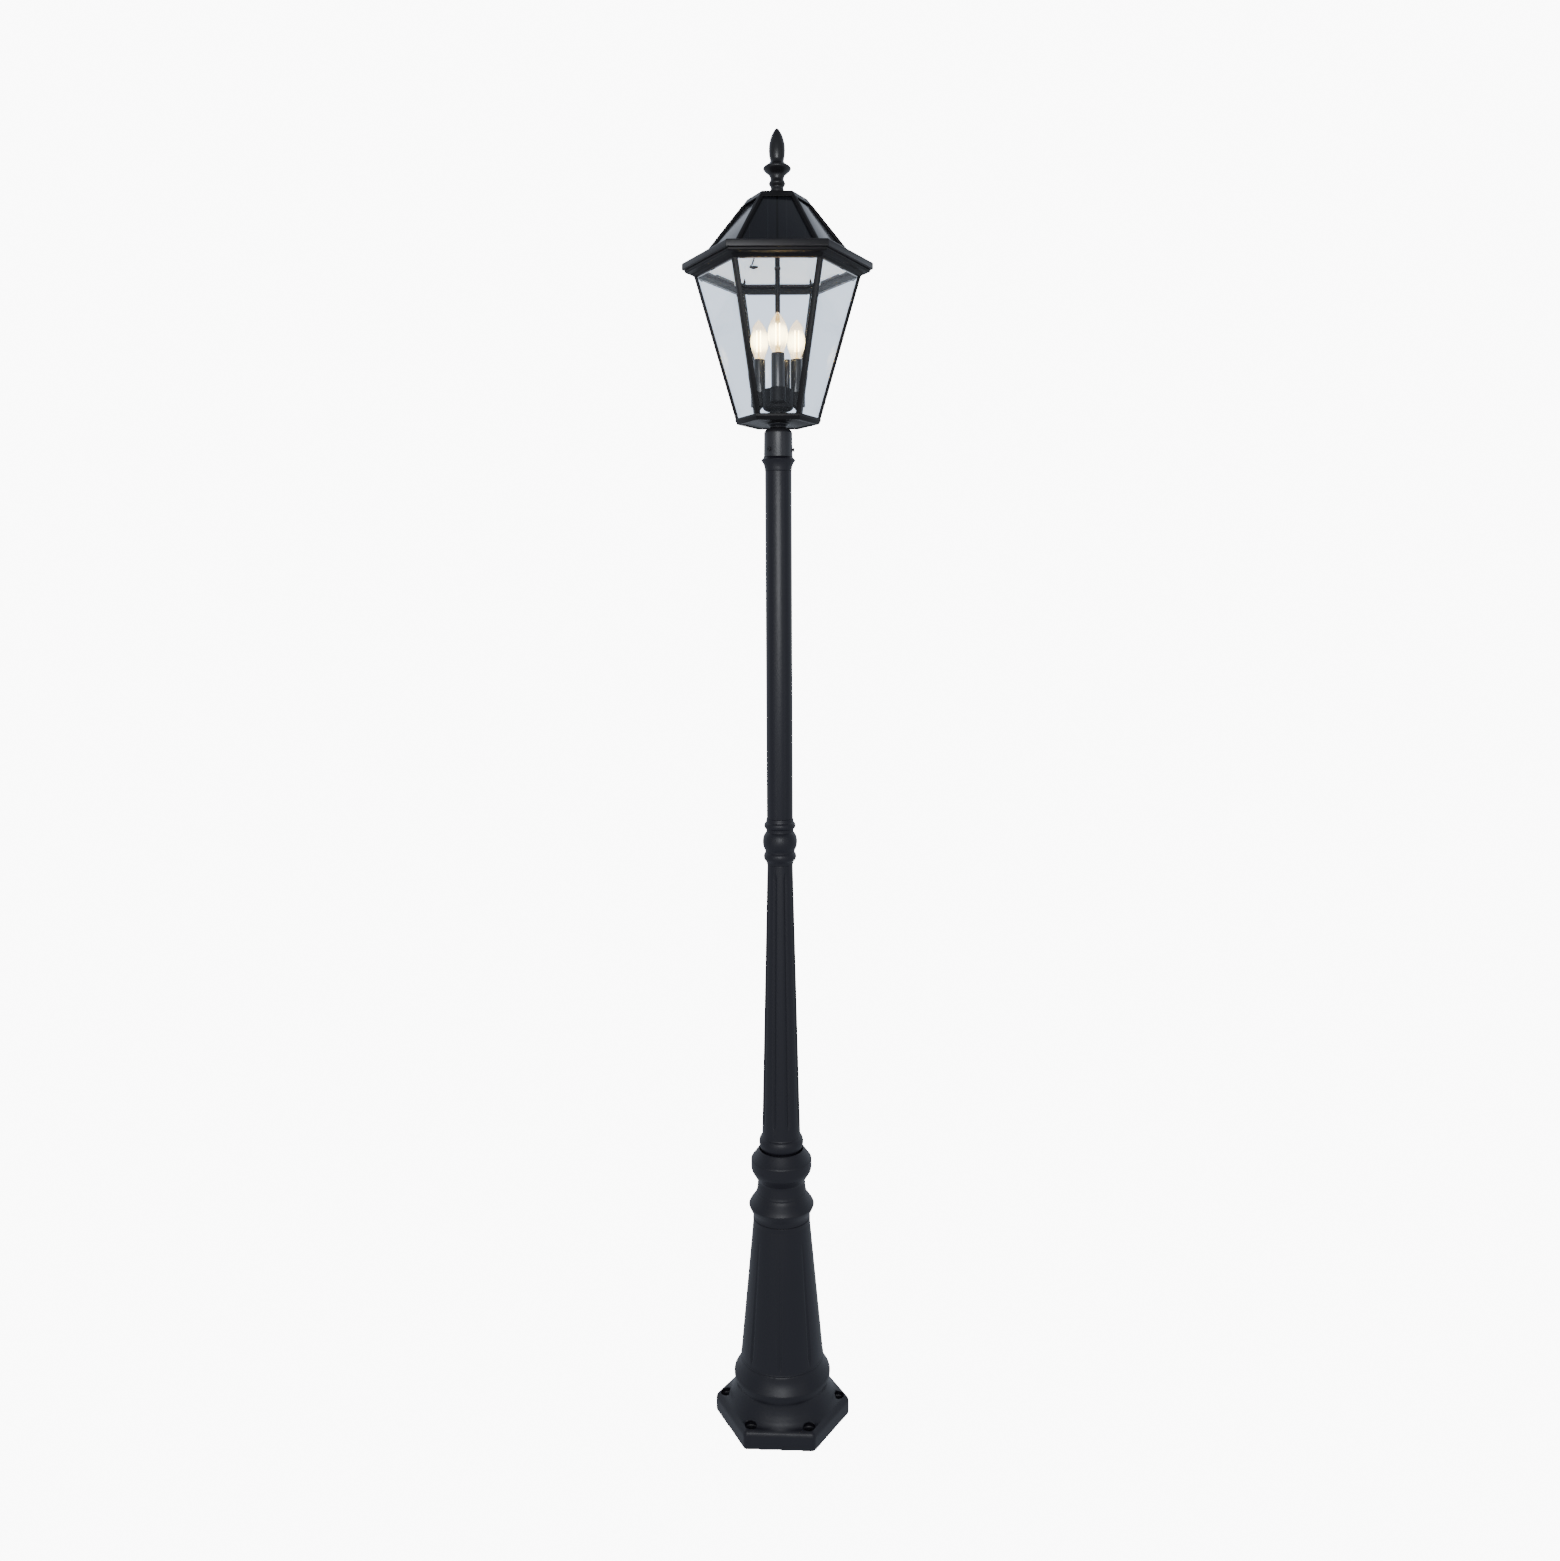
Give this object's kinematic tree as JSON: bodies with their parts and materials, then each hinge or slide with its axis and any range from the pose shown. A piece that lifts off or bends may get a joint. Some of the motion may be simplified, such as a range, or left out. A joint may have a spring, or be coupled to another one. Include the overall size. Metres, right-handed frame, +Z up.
{
  "type": "solar lamp post",
  "caption": "Tall garden lamp post with a flared hexagonal foot, fluted tapering shaft and plain tube, carrying a glazed hexagonal lantern with a solar-panelled roof over candle lamps.",
  "frame": {"origin": "centre of the foot's underside, on the post's axis, at ground level", "axes": "+Z up along the post; -Y towards the flat front side of the lantern that faces the viewer; +X to the viewer's right"},
  "size_m": [0.34, 0.2944, 2.361],
  "materials": {
    "post_casting": "satin black powder coat on cast aluminium",
    "lantern_casting": "satin black powder coat on cast aluminium",
    "tube_steel": "satin black powder coat on steel tube",
    "plain_steel": "zinc-plated",
    "dark_screws": "blackened",
    "inner_metal": "satin gunmetal paint",
    "lampholder": "matt",
    "clear_glass": "clear, polished",
    "solar_cells": "gloss black laminate over dark cells, with a white backing",
    "bulb_glass": "clear, warm",
    "bulb_brass": "plain",
    "bulb_filament": "warm phosphor",
    "board": "solder mask",
    "cell_wrap": "shrink wrap",
    "black_plastic": "matt",
    "black_rubber": "matt"
  },
  "bodies": {
    "post": {"foot": "post_casting", "base_shaft": "post_casting", "bowl_collar": "post_casting", "column": "post_casting", "knuckle": "post_casting", "upper_tube": "tube_steel", "top_collar": "post_casting", "tie_rod": "plain_steel", "tie_nuts": "plain_steel", "tube_screws": "dark_screws", "battery_cradle": "black_plastic", "battery_pack": "cell_wrap"},
    "head": {"fitter": "post_casting", "set_screws": "dark_screws", "lantern_floor": "lantern_casting", "bottom_ring": "lantern_casting", "corner_post_1": "lantern_casting", "corner_post_2": "lantern_casting", "corner_post_3": "lantern_casting", "corner_post_4": "lantern_casting", "corner_post_5": "lantern_casting", "corner_post_6": "lantern_casting", "pane_1": "clear_glass", "pane_2": "clear_glass", "pane_3": "clear_glass", "pane_4": "clear_glass", "pane_5": "clear_glass", "pane_6": "clear_glass", "top_ring": "lantern_casting", "centre_rod": "inner_metal", "rod_nuts": "dark_screws", "cluster_body": "inner_metal", "cluster_cover": "inner_metal", "candle_sleeves": "inner_metal", "wire_tube": "inner_metal", "lampholders": "lampholder", "control_board": "board", "switch_body": "black_plastic"},
    "bulb_1": {"bulb_glass_1": "bulb_glass", "bulb_cap_1": "bulb_brass", "filament_1": "bulb_filament"},
    "bulb_2": {"bulb_glass_2": "bulb_glass", "bulb_cap_2": "bulb_brass", "filament_2": "bulb_filament"},
    "bulb_3": {"bulb_glass_3": "bulb_glass", "bulb_cap_3": "bulb_brass", "filament_3": "bulb_filament"},
    "roof": {"roof_eave": "lantern_casting", "roof_hips": "lantern_casting", "roof_cap": "lantern_casting", "solar_panel_1": "solar_cells", "solar_panel_2": "solar_cells", "solar_panel_3": "solar_cells", "solar_panel_4": "solar_cells", "solar_panel_5": "solar_cells", "solar_panel_6": "solar_cells", "panel_lead": "black_rubber"},
    "finial_carrier": {"finial_washer": "dark_screws"},
    "finial_top": {"finial": "lantern_casting"},
    "button": {"mode_button": "black_rubber"}
  },
  "joints": [
    {"name": "head_turn", "type": "hinge", "parent": "post", "child": "head", "pos_m": [0, 0, 1.8], "axis": [0, 0, 1], "continuous": true},
    {"name": "bulb_1_out", "type": "slide", "parent": "head", "child": "bulb_1", "axis": [0, 0, 1], "range_m": [0, 0.03]},
    {"name": "bulb_2_out", "type": "slide", "parent": "head", "child": "bulb_2", "axis": [0, 0, 1], "range_m": [0, 0.03]},
    {"name": "bulb_3_out", "type": "slide", "parent": "head", "child": "bulb_3", "axis": [0, 0, 1], "range_m": [0, 0.03]},
    {"name": "button_press", "type": "slide", "parent": "head", "child": "button", "axis": [0, 0, 1], "range_m": [0, 0.0025], "stiffness_N_per_m": 200},
    {"name": "roof_lift", "type": "slide", "parent": "head", "child": "roof", "axis": [0, 0, 1], "range_m": [0, 0.15]},
    {"name": "finial_rise", "type": "slide", "parent": "roof", "child": "finial_carrier", "axis": [0, 0, 1], "range_m": [0, 0.01]},
    {"name": "finial_turn", "type": "hinge", "parent": "finial_carrier", "child": "finial_top", "pos_m": [0, 0, 2.3], "axis": [0, 0, 1], "range_deg": [0, 2880]}
  ],
  "couplings": [
    {"joint": "finial_turn", "follows": "finial_rise", "rad_per_m": 5026.5}
  ]
}
